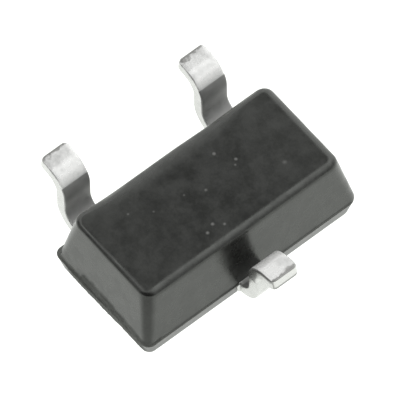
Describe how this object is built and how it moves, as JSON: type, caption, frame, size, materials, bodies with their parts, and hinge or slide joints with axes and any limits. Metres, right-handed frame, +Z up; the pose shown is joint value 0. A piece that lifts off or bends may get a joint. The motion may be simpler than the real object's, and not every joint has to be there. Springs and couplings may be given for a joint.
{
  "type": "pin diode",
  "caption": "Moulded surface-mount diode package with gull-wing leads on both long sides, lying on its marking face with its solder feet up.",
  "frame": {"origin": "on the marking face, which is the face it rests on, under the middle of the lead frame, halfway between the tips of the two sides", "axes": "+X along the body's length, +Y across the body towards the side with two leads, +Z up, out of the board-side face: the package lies on its back, so its solder feet face up"},
  "size_m": [0.003, 0.0028, 0.001],
  "materials": {
    "moulding": "fine matte, spark-eroded mould texture",
    "tinned_lead": "matte tin plating",
    "die_attach": "dull silver-filled adhesive",
    "silicon": "sawn sides, polished top",
    "contact_metal": "bright sputtered metal",
    "gold_wire": "drawn gold wire"
  },
  "bodies": {
    "root": {"moulded_body": "moulding", "lead_anode": "tinned_lead", "lead_spare": "tinned_lead", "lead_cathode": "tinned_lead", "die_attach": "die_attach", "diode_chip": "silicon", "anode_contact": "contact_metal", "bond_wire": "gold_wire"}
  },
  "joints": []
}
